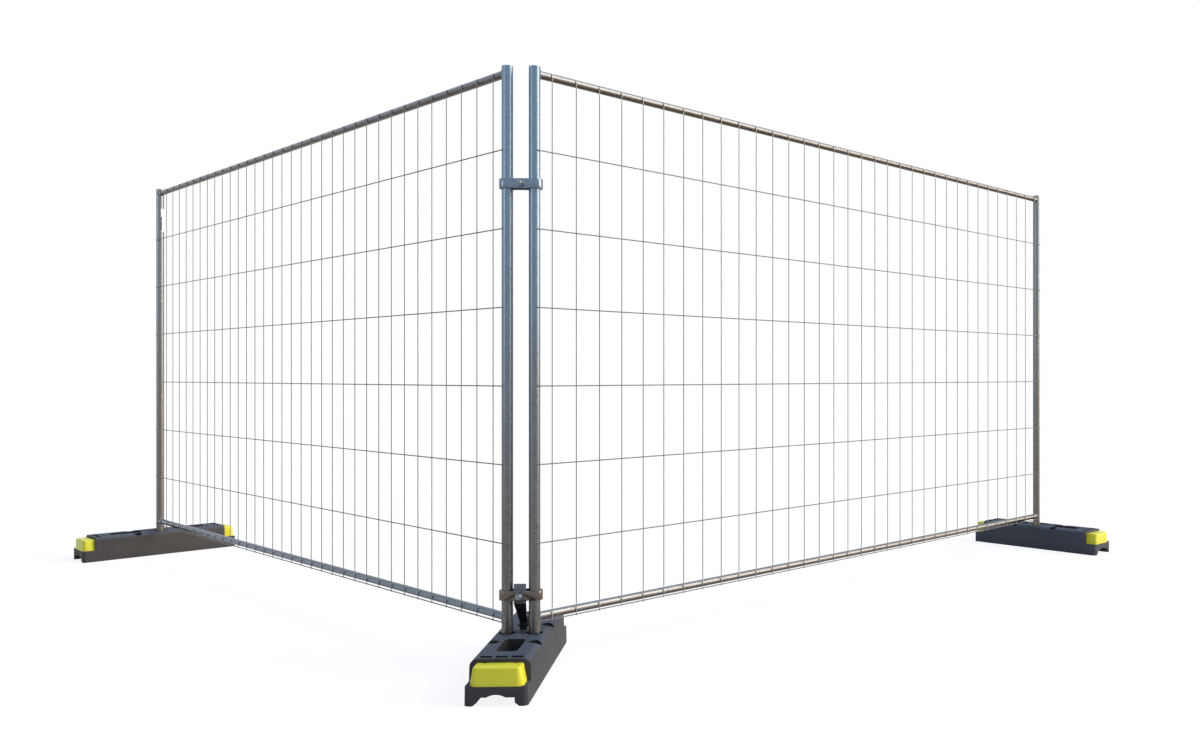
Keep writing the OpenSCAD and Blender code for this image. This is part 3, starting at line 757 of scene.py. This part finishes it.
def wrappedSheet(axis, radius, sheet, look):
    bm = bmesh.new()
    away = Vector((radius + sheet["lift"] * look["thickness"], 0, 0))
    start = axis + Matrix.Rotation(math.radians(sheet["fromDeg"]), 4, "Z") @ away
    ends = [bm.verts.new(start + Vector((0, 0, z))) for z in (sheet["low"], sheet["high"])]
    bmesh.ops.spin(bm, geom=ends + [bm.edges.new(ends)], cent=axis, axis=(0, 0, 1),
                   angle=math.radians(sheet["toDeg"] - sheet["fromDeg"]), steps=look["steps"])
    bmesh.ops.recalc_face_normals(bm, faces=bm.faces)
    bmesh.ops.solidify(bm, geom=bm.faces[:], thickness=look["thickness"])
    return bm


for name, sheet in labelSheets.items():
    shownPiece(name, wrappedSheet(postAxis["left_far"], postRadius("left"), sheet, labelShape),
               sheet["vinyl"], "left_panel")
print("label made")


# floor, light and camera

# the white share that is seen and the floor's own lit share come to white together
floorLook = {"size": 80, "colour": "#cccdd1", "whiteShare": 0.75, "whiteStrength": 1.17}
ambientLook = {"colour": "#c4d8ff", "strength": 0.28}
lampLook = {        # heading from +X towards +Y, height and softness in degrees
    "keyLight": {"colour": "#fffaf0", "strength": 1.8, "heading": -5, "height": 38, "softness": 28},
    "rightLight": {"colour": "#ffdfbc", "strength": 2.5, "heading": 2, "height": 8, "softness": 36},
    "leftLight": {"colour": "#fff2e2", "strength": 0.32, "heading": -144, "height": 8,
                  "softness": 16},
    "topLight": {"colour": "#c8dcff", "strength": 1.2, "heading": 0, "height": 78, "softness": 90},
}
# sizes and the picture's middle in the photo's pixels, place in metres, heading in degrees
photoView = {"width": 1200, "height": 748, "focal": 1045.8, "middleX": 772.5, "middleY": 375.6,
             "place": (0.6945, -3.529, 0.986), "heading": -2.39, "sensor": 36}


def seenRays(tree):
    path = addNode(tree, "ShaderNodeLightPath").outputs
    first = addNode(tree, "ShaderNodeMath", {"operation": "MAXIMUM"},
                    links={0: path["Is Camera Ray"], 1: path["Is Glossy Ray"]})
    return addNode(tree, "ShaderNodeMath", {"operation": "MAXIMUM"},
                   links={0: first.outputs[0], 1: path["Is Transmission Ray"]}).outputs[0]


def makeFloor(look):
    bm = bmesh.new()
    bmesh.ops.create_grid(bm, x_segments=1, y_segments=1, size=look["size"] / 2)
    mesh = bpy.data.meshes.new("studioFloor")
    bm.to_mesh(mesh)
    bm.free()
    material = bpy.data.materials.new("paleFloor")
    material.use_nodes = True
    tree = material.node_tree
    tree.nodes.remove(tree.nodes["Principled BSDF"])
    matt = addNode(tree, "ShaderNodeBsdfDiffuse", values={"Color": linearColour(look["colour"])})
    white = addNode(tree, "ShaderNodeEmission", values={"Strength": look["whiteStrength"]})
    share = addNode(tree, "ShaderNodeMath", {"operation": "MULTIPLY"},
                    {1: look["whiteShare"]}, {0: seenRays(tree)})
    mixed = addNode(tree, "ShaderNodeMixShader",
                    links={0: share.outputs[0], 1: matt.outputs[0], 2: white.outputs[0]})
    tree.links.new(mixed.outputs[0], tree.nodes["Material Output"].inputs["Surface"])
    mesh.materials.append(material)
    floor = bpy.data.objects.new("studioFloor", mesh)
    bpy.context.scene.collection.objects.link(floor)


def makeWorld(look):
    world = bpy.data.worlds.new("studioWorld")
    bpy.context.scene.world = world
    world.use_nodes = True
    tree = world.node_tree
    ambient = tree.nodes["Background"]
    ambient.inputs["Color"].default_value = linearColour(look["colour"])
    ambient.inputs["Strength"].default_value = look["strength"]
    white = addNode(tree, "ShaderNodeBackground", values={"Color": (1, 1, 1, 1), "Strength": 1})
    mixed = addNode(tree, "ShaderNodeMixShader",
                    links={0: seenRays(tree), 1: ambient.outputs[0], 2: white.outputs[0]})
    tree.links.new(mixed.outputs[0], tree.nodes["World Output"].inputs["Surface"])


def makeLamp(name, look):
    lamp = bpy.data.lights.new(name, "SUN")
    lamp.energy = look["strength"]
    lamp.angle = math.radians(look["softness"])
    lamp.color = linearColour(look["colour"])[:3]
    light = bpy.data.objects.new(name, lamp)
    towards = direction(math.radians(look["heading"]), math.radians(look["height"]))
    light.rotation_euler = towards.to_track_quat("Z", "Y").to_euler()
    bpy.context.scene.collection.objects.link(light)


def makeCamera(view):
    lens = bpy.data.cameras.new("photoCamera")
    lens.sensor_fit = "HORIZONTAL"
    lens.sensor_width = view["sensor"]
    lens.lens = view["sensor"] * view["focal"] / view["width"]
    lens.shift_x = (view["width"] / 2 - view["middleX"]) / view["width"]
    lens.shift_y = (view["middleY"] - view["height"] / 2) / view["width"]
    camera = bpy.data.objects.new("photoCamera", lens)
    camera.location = view["place"]
    camera.rotation_euler = (math.pi / 2, 0, math.radians(view["heading"]))
    bpy.context.scene.collection.objects.link(camera)
    bpy.context.scene.camera = camera


makeFloor(floorLook)
makeWorld(ambientLook)
for name, look in lampLook.items():
    makeLamp(name, look)
makeCamera(photoView)
bpy.context.scene.view_settings.view_transform = "Standard"
print("floor, light and camera set")

bpy.context.view_layer.update()
